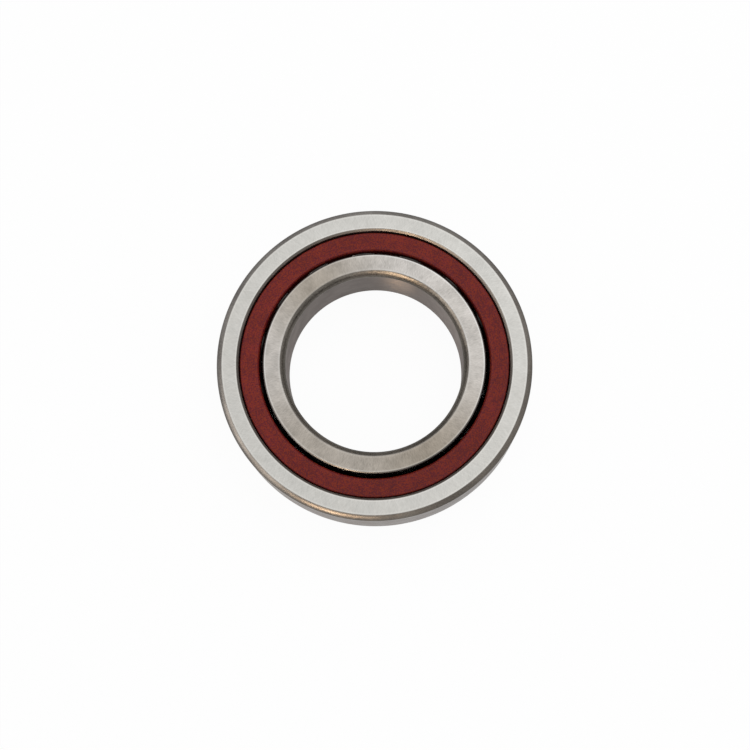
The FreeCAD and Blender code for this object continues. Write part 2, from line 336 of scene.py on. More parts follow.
class NodeSheet:
    """A material's node tree, with short ways to add what the finishes share. It works in millimetres."""

    def __init__(self, name: str) -> None:
        """Starts a material with the places that every finish reads.

        Args:
            name: The material's name.
        """
        self.material = bpy.data.materials.new(name)
        self.tree = empty_tree(self.material)
        place = self.node("ShaderNodeTexCoord").outputs["Object"]
        scaled = self.node("ShaderNodeVectorMath", {0: place, "Scale": 1 / MM}, operation="SCALE")
        self.place = scaled.outputs["Vector"]
        split = self.node("ShaderNodeSeparateXYZ", {0: self.place})
        self.x, self.y, self.z = split.outputs
        across = self.math("MULTIPLY", self.y, self.y)
        self.radius = self.math("SQRT", self.math("MULTIPLY_ADD", self.x, self.x, across))
        self.angle = self.math("ARCTAN2", self.y, self.x)

    def node(self, kind: str, inputs: dict[str | int, Any] | None = None, **settings: Any) -> bpy.types.Node:
        """Adds a node to the sheet's tree, as add_node does."""
        return add_node(self.tree, kind, inputs, **settings)

    def math(self, operation: str, *values: Socket | float, clamp: bool = False) -> Socket:
        """Adds a Math node.

        Args:
            operation: What it does.
            values: Its numbers or outputs, in order.
            clamp: Whether its result stays from 0 to 1.

        Returns:
            The result.
        """
        node = self.node("ShaderNodeMath", dict(enumerate(values)), operation=operation, use_clamp=clamp)
        return node.outputs[0]

    def vector(self, x: Socket | float, y: Socket | float, z: Socket | float) -> Socket:
        """Three numbers as one vector."""
        return self.node("ShaderNodeCombineXYZ", {0: x, 1: y, 2: z}).outputs[0]

    def spread(
        self, value: Socket, low: float, high: float, to_low: float = 0.0, to_high: float = 1.0
    ) -> Socket:
        """Maps a range onto another, smoothly and clamped.

        Args:
            value: The number to map.
            low: The value that becomes to_low.
            high: The value that becomes to_high.
            to_low: The new lowest value.
            to_high: The new highest value.

        Returns:
            The mapped number.
        """
        node = self.node(
            "ShaderNodeMapRange",
            {"Value": value, "From Min": low, "From Max": high, "To Min": to_low, "To Max": to_high},
            interpolation_type="SMOOTHSTEP",
        )
        return node.outputs["Result"]

    def noise(self, vector: Socket, scale: float, detail: float = 2.0, rough: float = 0.5) -> Socket:
        """Adds noise from 0 to 1 that averages a half.

        Args:
            vector: Where it is read.
            scale: How many features there are in a millimetre.
            detail: How many finer layers it has.
            rough: How strong those are.

        Returns:
            The noise.
        """
        node = self.node(
            "ShaderNodeTexNoise", {"Vector": vector, "Scale": scale, "Detail": detail, "Roughness": rough}
        )
        return node.outputs["Fac"]

    def blend(self, share: Socket | float, first: Socket | Colour, second: Socket | Colour) -> Socket:
        """Mixes two colours.

        Args:
            share: How much of the second one there is.
            first: The colour at 0.
            second: The colour at 1.

        Returns:
            The mixed colour.
        """
        values = [(*value, 1.0) if isinstance(value, tuple) else value for value in (share, first, second)]
        node = self.node("ShaderNodeMix", dict(zip(MIX_SOCKETS, values)), data_type="RGBA")
        return node.outputs[MIX_RESULT]

    def around(self, turn: Socket | float, steps: float, across: Socket | float) -> Socket:
        """A place on a closed path round the axis, for patterns that have no seam.

        Args:
            turn: An angle in radians that is added to the place's own.
            steps: The path's radius, in features.
            across: The place across the path, in features.

        Returns:
            The place as a vector.
        """
        angle = self.math("ADD", self.angle, turn)
        along_x = self.math("MULTIPLY", self.math("COSINE", angle), steps)
        along_y = self.math("MULTIPLY", self.math("SINE", angle), steps)
        return self.vector(along_x, along_y, across)

    def with_painted_light(self, colour: Socket, painted_light_waves: tuple[PaintedLightWave, ...]) -> Socket:
        """Paints light and shade into a colour: darkens and warms it, or lightens and cools it, in slow swells
        round the axis.

        Args:
            colour: The colour before.
            painted_light_waves: The swells of painted light and shade, which add up.

        Returns:
            The colour after.
        """
        swell: Socket | float = 0.0
        for wave in painted_light_waves:
            turned = self.math("SUBTRACT", self.angle, math.radians(wave.peak))
            crest = self.math("COSINE", self.math("MULTIPLY", turned, wave.count))
            swell = self.math("MULTIPLY_ADD", crest, wave.strength, swell)
        gains = [self.math("MULTIPLY_ADD", swell, share, 1.0) for share in PAINTED_LIGHT_SHARES]
        node = self.node("ShaderNodeVectorMath", {0: colour, 1: self.vector(*gains)}, operation="MULTIPLY")
        return node.outputs["Vector"]

    def finish(
        self, colour: Socket, roughness: Socket, height: Socket, depth: float, **fixed: Any
    ) -> bpy.types.Material:
        """Ends the tree in a Principled shader.

        Args:
            colour: The base colour.
            roughness: The roughness.
            height: The relief, from 0 to 1.
            depth: How deep the relief is, in metres.
            fixed: Values of the shader's own sockets, by name with _ for a space.

        Returns:
            The material.
        """
        bump = self.node("ShaderNodeBump", {"Height": height, "Distance": depth, "Strength": 1.0})
        shader = self.node(
            "ShaderNodeBsdfPrincipled",
            {"Base Color": colour, "Roughness": roughness, "Normal": bump.outputs[0]},
        )
        for name, value in fixed.items():
            shader.inputs[name.replace("_", " ")].default_value = value
        self.node("ShaderNodeOutputMaterial", {"Surface": shader.outputs[0]})
        return self.material


class Lay(Enum):
    """How the fine marks of a machining step run over a surface."""

    CROSSED = "near-radial arcs in two directions, from face grinding"
    ROUND = "round the axis, from turning or cylindrical grinding"
    GRAIN = "no direction, as heat treatment leaves it"


@dataclass(frozen=True)
class EdgeHighlight:
    """A painted highlight along a rounded edge that catches the light: its radius and its width in millimetres,
    and how much of its colour shows.
    """

    radius: float
    width: float
    share: float


@dataclass(frozen=True)
class SteelFinish:
    """Bare bearing steel as one machining step leaves it.

    The pitch is the distance between marks and the run is their length, both in millimetres. Contrast is
    how far the marks spread the colour from dark to light, mottle is how far slow clouds do, and smudge is
    how far the roughness wanders. The edge tint is the colour of its gloss at a grazing angle.
    """

    name: str
    dark: Colour
    light: Colour
    roughness: float
    lay: Lay
    pitch: float
    run: float
    contrast: float = 0.5
    mottle: float = 0.5
    mottle_size: float = 9.0
    smudge: float = 0.05
    depth: float = 0.0008 * MM
    anisotropy: float = 0.0
    anisotropy_turn: float = 0.0
    # Painted light and shade in slow swells round the ring, where the light falls brighter or dimmer.
    painted_light_waves: tuple[PaintedLightWave, ...] = ()
    # Painted highlights along the face's rounded edges, and their colour.
    edge_highlights: tuple[EdgeHighlight, ...] = ()
    highlight_colour: Colour = (0.78, 0.77, 0.74)
    edge_tint: Colour = (1.0, 1.0, 1.0)

    def marks(self, sheet: NodeSheet) -> Socket:
        """Draws the fine marks that the machining step leaves.

        Args:
            sheet: The node tree.

        Returns:
            Their height, from 0 to 1.
        """
        if self.lay is Lay.GRAIN:
            return sheet.noise(sheet.place, 1 / self.pitch, detail=3.0, rough=0.6)
        if self.lay is Lay.ROUND:
            across = sheet.math("MULTIPLY_ADD", sheet.z, CROSS_HEIGHT, sheet.radius)
            place = sheet.around(0.0, MARK_RADIUS / self.run, sheet.math("DIVIDE", across, self.pitch))
            return sheet.noise(place, 1.0, rough=0.6)
        along = sheet.math("DIVIDE", sheet.radius, self.run)
        skewed = []
        for skew in (LAY_SKEW, BACK_SKEW * LAY_SKEW):
            turn = sheet.math("MULTIPLY", sheet.radius, skew)
            place = sheet.around(turn, MARK_RADIUS / self.pitch, along)
            skewed.append(sheet.noise(place, 1.0, rough=0.6))
        return sheet.math("MULTIPLY", sheet.math("ADD", *skewed), 0.5)

    def with_edge_highlights(self, sheet: NodeSheet, colour: Socket) -> Socket:
        """Paints highlights into a colour beside the rounded edges that catch the light.

        Args:
            sheet: The node tree.
            colour: The colour before.

        Returns:
            The colour after.
        """
        for edge in self.edge_highlights:
            gap = sheet.math("ABSOLUTE", sheet.math("SUBTRACT", sheet.radius, edge.radius))
            near = sheet.spread(gap, 0.0, edge.width, edge.share, 0.0)
            colour = sheet.blend(near, colour, self.highlight_colour)
        return colour

    def build(self) -> bpy.types.Material:
        """Builds the material.

        Returns:
            The material, or the one that an earlier call built.
        """
        if self.name in bpy.data.materials:
            return bpy.data.materials[self.name]
        sheet = NodeSheet(self.name)
        marks = self.marks(sheet)
        clouds = sheet.noise(sheet.place, 1 / self.mottle_size, detail=3.0, rough=0.55)
        share = sheet.math("MULTIPLY_ADD", sheet.math("SUBTRACT", marks, 0.5), self.contrast * 2, 0.5)
        swing = sheet.math("MULTIPLY", sheet.math("SUBTRACT", clouds, 0.5), self.mottle * MOTTLE_GAIN)
        share = sheet.math("ADD", share, swing, clamp=True)
        # Painted highlights beside the rounded edges.
        colour = self.with_edge_highlights(sheet, sheet.blend(share, self.dark, self.light))
        # Painted light and shade: slow swells of tone round the ring, as the light falls.
        if self.painted_light_waves:
            colour = sheet.with_painted_light(colour, self.painted_light_waves)
        smears = sheet.noise(sheet.place, SMEAR_SCALE, detail=3.0, rough=0.6)
        low, high = self.roughness - self.smudge, self.roughness + self.smudge
        roughness = sheet.spread(smears, *SMEAR_RANGE, low, high)
        return sheet.finish(
            colour, roughness, marks, self.depth,
            Metallic=1.0, Anisotropic=self.anisotropy, Anisotropic_Rotation=self.anisotropy_turn,
            Specular_Tint=(*self.edge_tint, 1.0),
        )


@dataclass(frozen=True)
class LaminateFinish:
    """Machined cotton-fabric laminate, with its woven threads cut through.

    Lengths are in millimetres, and scales are features in a millimetre. The first three shares weigh the
    wound threads, those that cross them and loose fibres. The ranges are the parts of the pattern from
    dark to light, from cool to warm and from smooth to rough.
    """

    name: str = "fabric_laminate"
    cool_dark: Colour = (0.090, 0.0036, 0.0088)
    cool_light: Colour = (0.212, 0.0150, 0.0202)
    warm_dark: Colour = (0.075, 0.0058, 0.0016)
    warm_light: Colour = (0.198, 0.0212, 0.0062)
    thread: float = 0.22
    float_length: float = 1.8
    layer_sway: float = 0.5
    sway_scale: float = 0.25
    wound_share: float = 0.22
    crossing_share: float = 0.08
    fibre_share: float = 0.70
    cloud_scale: float = 0.3
    cloud_share: float = 0.22
    tone_range: Point = (0.405, 0.595)
    hue_range: Point = (0.42, 0.58)
    rough_range: Point = (0.35, 0.65)
    roughness: float = 0.55
    roughness_swing: float = 0.08
    depth: float = 0.006 * MM
    # Painted light and shade: the laminate is lighter on one side and in two slow swells round the ring, where the
    # light falls.
    painted_light_waves: tuple[PaintedLightWave, ...] = (PaintedLightWave(1, 0.09, 142.0), PaintedLightWave(2, 0.05, 5.0))

    def build(self) -> bpy.types.Material:
        """Builds the material.

        Returns:
            The material.
        """
        sheet = NodeSheet(self.name)
        sway = sheet.noise(sheet.place, self.sway_scale)
        swayed = sheet.math("MULTIPLY_ADD", sway, self.layer_sway, sheet.radius)
        layers_at = sheet.math("DIVIDE", swayed, self.thread)
        height_at = sheet.math("DIVIDE", sheet.z, self.thread)
        across = sheet.math("ADD", layers_at, height_at)
        wound = sheet.noise(sheet.around(0.0, MARK_RADIUS / self.float_length, across), 1.0, rough=0.6)
        along = sheet.math("DIVIDE", sheet.radius, 2.0 * self.thread)
        crossing = sheet.noise(sheet.around(0.0, MARK_RADIUS / self.thread, along), 1.0, rough=0.6)
        fibres = sheet.noise(sheet.place, 1.0 / self.thread, detail=1.0, rough=0.7)
        crossed = sheet.math("MULTIPLY", crossing, self.crossing_share)
        woven = sheet.math("MULTIPLY_ADD", wound, self.wound_share, crossed)
        threads = sheet.math("MULTIPLY_ADD", fibres, self.fibre_share, woven)
        clouds = sheet.noise(sheet.place, self.cloud_scale, detail=3.0, rough=0.6)
        cloudy = sheet.math("SUBTRACT", clouds, 0.5)
        share = sheet.spread(sheet.math("MULTIPLY_ADD", cloudy, self.cloud_share, threads), *self.tone_range)
        tint = sheet.noise(sheet.place, 1.0 / self.thread, detail=1.0, rough=0.6)
        cool = sheet.blend(share, self.cool_dark, self.cool_light)
        warm = sheet.blend(share, self.warm_dark, self.warm_light)
        colour = sheet.with_painted_light(sheet.blend(sheet.spread(tint, *self.hue_range), cool, warm), self.painted_light_waves)
        smooth, rough = self.roughness - self.roughness_swing, self.roughness + self.roughness_swing
        roughness = sheet.spread(threads, *self.rough_range, smooth, rough)
        return sheet.finish(colour, roughness, threads, self.depth, Specular_IOR_Level=0.25)


OUTER_FINISHES: dict[Zone, SteelFinish] = {
    Zone.FACE: SteelFinish(
        "outer_face_ground", dark=(0.46, 0.455, 0.43), light=(0.64, 0.63, 0.60), roughness=0.36,
        lay=Lay.CROSSED, pitch=0.22, run=1.2,
        contrast=0.9, mottle=0.15, mottle_size=5.0, anisotropy=0.3, depth=0.0006 * MM,
        # Painted highlights along both edges of the face.
        edge_highlights=(EdgeHighlight(29.72, 0.2, 0.2), EdgeHighlight(27.2, 0.22, 0.25)), highlight_colour=(0.86, 0.84, 0.80),
    ),
    Zone.SEAT: SteelFinish(
        "outer_seat_ground", dark=(0.24, 0.212, 0.198), light=(0.345, 0.308, 0.288), roughness=0.28,
        lay=Lay.ROUND, pitch=0.12, run=7.0,
        contrast=0.7, mottle=0.3, anisotropy=0.4, anisotropy_turn=0.25, edge_tint=(0.6, 0.6, 0.6),
    ),
    Zone.CORNER: SteelFinish(
        "outer_corner_scale", dark=(0.100, 0.091, 0.083), light=(0.22, 0.202, 0.183), roughness=0.36,
        lay=Lay.GRAIN, pitch=0.26, run=1.0,
        # Painted light: the corner is lighter on one side, where it catches more light.
        contrast=0.8, depth=0.02 * MM, edge_tint=(0.50, 0.50, 0.50), painted_light_waves=(PaintedLightWave(1, 0.18, 122.0),),
    ),
    Zone.EDGE_BREAK: SteelFinish(
        "outer_break_turned", dark=(0.088, 0.080, 0.071), light=(0.190, 0.173, 0.154), roughness=0.45,
        lay=Lay.GRAIN, pitch=0.22, run=1.0,
        depth=0.01 * MM,
    ),
    Zone.LAND: SteelFinish(
        "outer_land_ground", dark=(0.20, 0.19, 0.18), light=(0.30, 0.285, 0.27), roughness=0.30,
        lay=Lay.ROUND, pitch=0.1, run=6.0,
        anisotropy=0.5, anisotropy_turn=0.25,
    ),
    Zone.RACEWAY: SteelFinish(
        "outer_raceway_honed", dark=(0.42, 0.42, 0.42), light=(0.52, 0.52, 0.52), roughness=0.16,
        lay=Lay.ROUND, pitch=0.06, run=9.0,
        contrast=0.4, mottle=0.2, depth=0.0002 * MM, anisotropy=0.3, anisotropy_turn=0.25,
    ),
    Zone.COUNTERBORE: SteelFinish(
        "outer_counterbore_turned", dark=(0.20, 0.19, 0.18), light=(0.32, 0.31, 0.29), roughness=0.34,
        lay=Lay.ROUND, pitch=0.14, run=8.0,
    ),
    Zone.RIM: SteelFinish(
        "outer_rim_worn", dark=(0.20, 0.19, 0.18), light=(0.34, 0.32, 0.30), roughness=0.30,
        lay=Lay.GRAIN, pitch=0.3, run=1.0,
    ),
}

INNER_FINISHES: dict[Zone, SteelFinish] = {
    Zone.FACE: SteelFinish(
        "inner_face_ground", dark=(0.29, 0.27, 0.243), light=(0.55, 0.51, 0.465), roughness=0.34,
        lay=Lay.CROSSED, pitch=0.19, run=0.9,
        contrast=0.85, mottle=0.4, mottle_size=3.5, anisotropy=0.3, depth=0.0012 * MM,
        # Painted light and shade: slow swells of tone round the face, where the light falls brighter or dimmer.
        painted_light_waves=(PaintedLightWave(1, 0.155, 60.0), PaintedLightWave(2, 0.165, 21.0), PaintedLightWave(3, 0.045, 55.0), PaintedLightWave(4, 0.095, 77.0)),
        # Painted highlights along both edges of the face.
        edge_highlights=(EdgeHighlight(21.5, 0.22, 0.33), EdgeHighlight(18.75, 0.2, 0.12)),
    ),
    Zone.SEAT: SteelFinish(
        "inner_bore_ground", dark=(0.140, 0.126, 0.119), light=(0.215, 0.196, 0.187), roughness=0.38,
        lay=Lay.ROUND, pitch=0.12, run=7.0,
        contrast=0.7, mottle=0.3, anisotropy=1.0, anisotropy_turn=0.25, edge_tint=(0.88, 0.82, 0.79),
    ),
    Zone.CORNER: SteelFinish(
        "inner_corner_scale", dark=(0.080, 0.073, 0.064), light=(0.20, 0.181, 0.158), roughness=0.34,
        lay=Lay.GRAIN, pitch=0.30, run=1.0,
        contrast=1.0, depth=0.03 * MM, edge_tint=(0.5, 0.5, 0.5),
    ),
    Zone.EDGE_BREAK: SteelFinish(
        "inner_break_worn", dark=(0.09, 0.087, 0.083), light=(0.16, 0.155, 0.147), roughness=0.42,
        lay=Lay.ROUND, pitch=0.1, run=3.0,
    ),
    # Partly oxide on the turned steel, partly painted shade: kept far darker than the other steel, so the narrow
    # gap beside the cage stays black.
    Zone.LAND: SteelFinish(
        "inner_land_turned", dark=(0.06, 0.058, 0.056), light=(0.11, 0.106, 0.10), roughness=0.3,
        lay=Lay.ROUND, pitch=0.12, run=6.0,
    ),
    Zone.RACEWAY: SteelFinish(
        "inner_raceway_honed", dark=(0.42, 0.42, 0.42), light=(0.52, 0.52, 0.52), roughness=0.16,
        lay=Lay.ROUND, pitch=0.06, run=9.0,
        contrast=0.4, mottle=0.2, depth=0.0002 * MM, anisotropy=0.3, anisotropy_turn=0.25,
    ),
    Zone.RIM: SteelFinish(
        "inner_rim_worn", dark=(0.20, 0.19, 0.18), light=(0.34, 0.32, 0.30), roughness=0.30,
        lay=Lay.GRAIN, pitch=0.3, run=1.0,
    ),
}

# Partly an oil film, partly painted shade: darker than bare lapped steel, so the balls seen through the gap beside
# the cage stay dark.
BALL_FINISH = SteelFinish(
    "ball_lapped", dark=(0.38, 0.38, 0.37), light=(0.46, 0.46, 0.45), roughness=0.04,
    lay=Lay.GRAIN, pitch=0.4, run=1.0,
    contrast=0.3, mottle=0.2, smudge=0.02, depth=0.0,
)


# --- The bearing's pieces ---------------------------------------------------------------------------


class Race(Enum):
    """The two raceways, with the way from the pitch circle to each groove's own centre."""

    OUTER = -1
    INNER = 1


@dataclass(frozen=True)
class Groove:
    """A raceway's circle in the section."""

    centre: Point
    radius: float

    def height_at(self, radius: float, side: int) -> float:
        """The height at which the circle reaches a radius, above (1) or below (-1) its centre."""
        return self.centre[1] + side * math.sqrt(self.radius**2 - (radius - self.centre[0]) ** 2)

    def bulge_between(self, start: Point, end: Point) -> float:
        """The bulge, hollow and so below 0, of the circle's arc between two of its points."""
        half_turn = math.asin(math.dist(start, end) / 2 / self.radius)
        return -math.tan(half_turn / 2) / 2


@dataclass(frozen=True)
class BallRow:
    """The row of balls: how it is laid out, and the grooves that it runs in."""

    pitch_radius: float
    mid_height: float
    ball_radius: float
    nodes: tuple[str, ...]
    contact_angle: float = math.radians(25)
    clearance: float = 0.03 * MM
    conformity: float = 0.52

    @classmethod
    def from_frame(cls) -> "BallRow":
        """Reads the row's layout from the frame's balls and their joints.

        Returns:
            The row.
        """
        nodes = tuple(sorted(name for name in frame["nodes"] if name.startswith("ball_")))
        low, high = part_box(nodes[0])
        centre = next(j["pos_m"] for j in frame["joints"] if j["child"] == nodes[0])
        return cls(math.hypot(centre[0], centre[1]), centre[2], (high.z - low.z) / 2, nodes)

    def groove(self, race: Race) -> Groove:
        """Places a raceway's circle, leant towards the load line.

        Args:
            race: Which raceway.

        Returns:
            The circle.
        """
        radius = self.conformity * 2 * self.ball_radius
        shift = race.value * (radius - self.ball_radius - self.clearance)
        centre = (
            self.pitch_radius + shift * math.cos(self.contact_angle),
            self.mid_height + shift * math.sin(self.contact_angle),
        )
        return Groove(centre, radius)

    def dress(self) -> None:
        """Gives the balls their lapped finish, darkened partly by an oil film and partly as painted shade. Their
        own shape is right, so they stay.
        """
        material = BALL_FINISH.build()
        for name in self.nodes:
            ball = frame["nodes"][name]
            ball.data.materials.clear()
            ball.data.materials.append(material)
            ball.data.shade_smooth()
            log.info("%s keeps its solid, %d faces", name, len(ball.data.polygons))


UPPER_BULGE = 0.10  # rise over chord of the rings' upper rounded corners
LOWER_BULGE = 0.15  # and of their lower ones
CORNER_REACH = 0.6 * MM  # how far the floor's light reaches in under the lower corners
CAGE_INNER_CLEARANCE = 0.87 * MM  # between the cage and the inner ring's shoulder
CAGE_GUIDE_CLEARANCE = 0.23 * MM  # between the cage and the shoulder that guides it
WELD = 0.0002 * MM  # places nearer than this are one vertex
RIM_STEPS = 4  # strips over a pocket's rounded rim


@dataclass(frozen=True)
class OuterRing:
    """The ring that sits in the housing, with its high shoulder above the balls."""

    row: BallRow
    seat_radius: float
    width: float
    upper_corner: Point = (1.05 * MM, 1.15 * MM)
    lower_corner: Point = (0.80 * MM, 0.80 * MM)
    shoulder: float = 1.61 * MM
    lip: float = 0.10 * MM
    taper: float = math.radians(3)
    edge_break: float = 0.40 * MM
    segments: int = 360

    @property
    def land_radius(self) -> float:
        """The radius of the high shoulder, which guides the cage."""
        groove = self.row.groove(Race.OUTER)
        return groove.centre[0] + groove.radius - self.shoulder

    def section(self) -> Section:
        """Draws the ring's section, from its lower outside corner upwards.

        Returns:
            The section.
        """
        groove = self.row.groove(Race.OUTER)
        seat, top, land, edge = self.seat_radius, self.width, self.land_radius, self.edge_break
        land_end = (land, groove.height_at(land, 1))
        lip_radius = groove.centre[0] + groove.radius - self.lip
        lip_point = (lip_radius, groove.height_at(lip_radius, -1))
        raceway = groove.bulge_between(land_end, lip_point)
        mouth = lip_radius + lip_point[1] * math.tan(self.taper)
        upper_r, upper_z = self.upper_corner
        lower_r, lower_z = self.lower_corner
        return Section((seat - lower_r, 0.0), (
            Stretch((seat, lower_z), Zone.CORNER, bulge=LOWER_BULGE, ease=0.10 * MM, steps=8),
            Stretch((seat, top - upper_z), Zone.SEAT, ease=0.12 * MM, steps=6),
            Stretch((seat - upper_r, top), Zone.CORNER, bulge=UPPER_BULGE, ease=0.04 * MM, steps=12),
            Stretch((land + edge, top), Zone.FACE, ease=0.05 * MM, steps=6),
            Stretch((land, top - edge), Zone.EDGE_BREAK, ease=0.05 * MM, steps=2),
            Stretch(land_end, Zone.LAND, ease=0.03 * MM, steps=3),
            Stretch(lip_point, Zone.RACEWAY, bulge=raceway, ease=0.02 * MM, steps=24),
            Stretch((mouth, edge), Zone.COUNTERBORE, ease=0.04 * MM, steps=4),
            Stretch((mouth + edge, 0.0), Zone.EDGE_BREAK, ease=0.05 * MM, steps=2),
            Stretch((seat - lower_r, 0.0), Zone.FACE, ease=0.08 * MM, steps=3),
        ))

    def build(self) -> bpy.types.Object:
        """Turns the ring, and lets it stand for its solid.

        Returns:
            The ring.
        """
        piece = turned_piece("outer_ring_ground", self.section(), OUTER_FINISHES, self.segments)
        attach(piece, "outer_ring")
        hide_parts("outer_ring")
        return piece


@dataclass(frozen=True)
class InnerRing:
    """The ring that sits on the shaft."""

    row: BallRow
    bore_radius: float
    width: float
    upper_corner: Point = (1.00 * MM, 1.60 * MM)
    lower_corner: Point = (1.00 * MM, 1.00 * MM)
    shoulder: float = 1.61 * MM
    edge_break: float = 0.22 * MM
    segments: int = 360

    @property
    def land_radius(self) -> float:
        """The radius of the shoulders on both sides of the raceway."""
        groove = self.row.groove(Race.INNER)
        return groove.centre[0] - groove.radius + self.shoulder

    def section(self) -> Section:
        """Draws the ring's section, from its lower outside edge upwards.

        Returns:
            The section.
        """
        groove = self.row.groove(Race.INNER)
        bore, top, land, edge = self.bore_radius, self.width, self.land_radius, self.edge_break
        low_end = (land, groove.height_at(land, -1))
        high_end = (land, groove.height_at(land, 1))
        raceway = groove.bulge_between(low_end, high_end)
        upper_r, upper_z = self.upper_corner
        lower_r, lower_z = self.lower_corner
        return Section((land - edge, 0.0), (
            Stretch((land, edge), Zone.EDGE_BREAK, ease=0.03 * MM),
            Stretch(low_end, Zone.LAND, ease=0.03 * MM, steps=3),
            Stretch(high_end, Zone.RACEWAY, bulge=raceway, ease=0.03 * MM, steps=36),
            Stretch((land, top - edge), Zone.LAND, ease=0.03 * MM, steps=3),
            Stretch((land - edge, top), Zone.EDGE_BREAK, ease=0.03 * MM),
            Stretch((bore + upper_r, top), Zone.FACE, ease=0.04 * MM, steps=6),
            Stretch((bore, top - upper_z), Zone.CORNER, bulge=UPPER_BULGE, ease=0.04 * MM, steps=12),
            Stretch((bore, lower_z), Zone.SEAT, ease=0.10 * MM, steps=6),
            Stretch((bore + lower_r, 0.0), Zone.CORNER, bulge=LOWER_BULGE, ease=0.10 * MM, steps=10),
            Stretch((land - edge, 0.0), Zone.FACE, ease=0.03 * MM, steps=5),
        ))

    def build(self) -> bpy.types.Object:
        """Turns the ring, and lets it stand for its solid.

        Returns:
            The ring.
        """
        piece = turned_piece("inner_ring_ground", self.section(), INNER_FINISHES, self.segments)
        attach(piece, "inner_ring")
        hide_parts("inner_ring")
        return piece


@dataclass
class Cage:
    """The one-piece cage: a turned ring of laminate with a drilled pocket for each ball."""

    row: BallRow
    inner_radius: float
    outer_radius: float
    bottom: float
    top: float
    outer_chamfer: float = 0.15 * MM
    inner_chamfer: float = 0.28 * MM
    pocket_clearance: float = 0.15 * MM
    pocket_rim: float = 0.12 * MM
    margin: float = 0.25 * MM
    points_round: int = 96
    patch_steps: int = 4
    first_pocket: float = math.pi / 2
    corners: dict[tuple[int, int, int], bmesh.types.BMVert] = field(default_factory=dict)

    @property
    def half_step(self) -> float:
        """Half the angle from one pocket to the next."""
        return math.pi / len(self.row.nodes)

    @property
    def middle(self) -> float:
        """The height of the pockets' axes."""
        return (self.bottom + self.top) / 2

    def corner(
        self, mesh: bmesh.types.BMesh, radius: float, angle: float, height: float
    ) -> bmesh.types.BMVert:
        """Gives the vertex at a place, and makes it the first time.

        Args:
            mesh: The mesh that is being built.
            radius: The place's distance from the axis.
            angle: Its angle round the axis.
            height: Its height.

        Returns:
            The vertex.
        """
        place = Vector((radius * math.cos(angle), radius * math.sin(angle), height))
        key = tuple(round(value / WELD) for value in place)
        if key not in self.corners:
            self.corners[key] = mesh.verts.new(place)
        return self.corners[key]

    def end_section(self) -> Section:
        """Draws the upper end's section, from the guided outside to the inside.

        Returns:
            The open section.
        """
        inner, outer, top = self.inner_radius, self.outer_radius, self.top
        return Section((outer, top - self.outer_chamfer - self.margin), (
            Stretch((outer, top - self.outer_chamfer), Zone.LAND, ease=0.04 * MM),
            Stretch((outer - self.outer_chamfer, top), Zone.EDGE_BREAK, ease=0.04 * MM),
            Stretch((inner + self.inner_chamfer, top), Zone.FACE, ease=0.08 * MM, steps=6),
            Stretch((inner, top - self.inner_chamfer), Zone.EDGE_BREAK, ease=0.08 * MM, steps=3),
            Stretch((inner, top - self.inner_chamfer - self.margin), Zone.LAND),
        ), closed=False)

    def around_patch(self, half_height: float) -> list[Point]:
        """The edge of one pocket's patch, as (angle, height) from the pocket's middle.

        Args:
            half_height: Half the patch's height.

        Returns:
            The points in order round the pocket, with one in each corner of the patch.
        """
        edge = []
        for i in range(self.points_round):
            turn = math.tau * i / self.points_round
            across, up = math.cos(turn), math.sin(turn)
            reach = max(abs(across), abs(up))
            edge.append((self.half_step * across / reach, half_height * up / reach))
        return edge

    def around_pocket(self, surface_radius: float, pocket_radius: float) -> list[Point]:
        """Where a drilled pocket meets a cylinder, as (angle, height) from the pocket's middle.

        Args:
            surface_radius: The cylinder's radius.
            pocket_radius: The pocket's radius.

        Returns:
            The points in order round the pocket.
        """
        turns = (math.tau * i / self.points_round for i in range(self.points_round))
        return [
            (math.asin(pocket_radius * math.cos(turn) / surface_radius), pocket_radius * math.sin(turn))
            for turn in turns
        ]

    def pocket_lines(self, surface_radius: float, half_height: float, inwards: int) -> list[list[Place]]:
        """The closed lines from a patch's edge to its pocket's wall.

        Args:
            surface_radius: The radius of the patch's surface.
            half_height: Half the patch's height.
            inwards: 1 where the material lies below the surface, and -1 where it lies above.

        Returns:
            Lines of (radius, angle, height), each as long as the pocket has points.
        """
        wall = self.row.ball_radius + self.pocket_clearance
        patch = self.around_patch(half_height)
        mouth = self.around_pocket(surface_radius, wall + self.pocket_rim)
        lines = []
        for step in range(self.patch_steps + 1):
            t = step / self.patch_steps
            lines.append([
                (surface_radius, a + (c - a) * t, b + (d - b) * t)
                for (a, b), (c, d) in zip(patch, mouth)
            ])
        sharp = self.around_pocket(surface_radius, wall)
        deep_radius = surface_radius - inwards * self.pocket_rim
        deep = self.around_pocket(deep_radius, wall)
        for step in range(1, RIM_STEPS + 1):
            lines.append([
                curved(step / RIM_STEPS, (surface_radius, *a), (surface_radius, *b), (deep_radius, *c))
                for a, b, c in zip(mouth, sharp, deep)
            ])
        return lines

    def build_pocket(self, mesh: bmesh.types.BMesh, turn: float, outside: float, inside: float) -> None:
        """Builds the guided outside, the inside and the wall round one pocket.

        Args:
            mesh: The mesh that is being built.
            turn: The pocket's angle round the axis.
            outside: Half the height of the patch on the outside.
            inside: Half the height of the patch on the inside.
        """
        lines = self.pocket_lines(self.outer_radius, outside, 1)
        lines += reversed(self.pocket_lines(self.inner_radius, inside, -1))
        for line, onward in zip(lines, lines[1:]):
            for i in range(self.points_round):
                j = (i + 1) % self.points_round
                mesh.faces.new([
                    self.corner(mesh, radius, turn + angle, self.middle + height)
                    for radius, angle, height in (line[i], line[j], onward[j], onward[i])
                ])

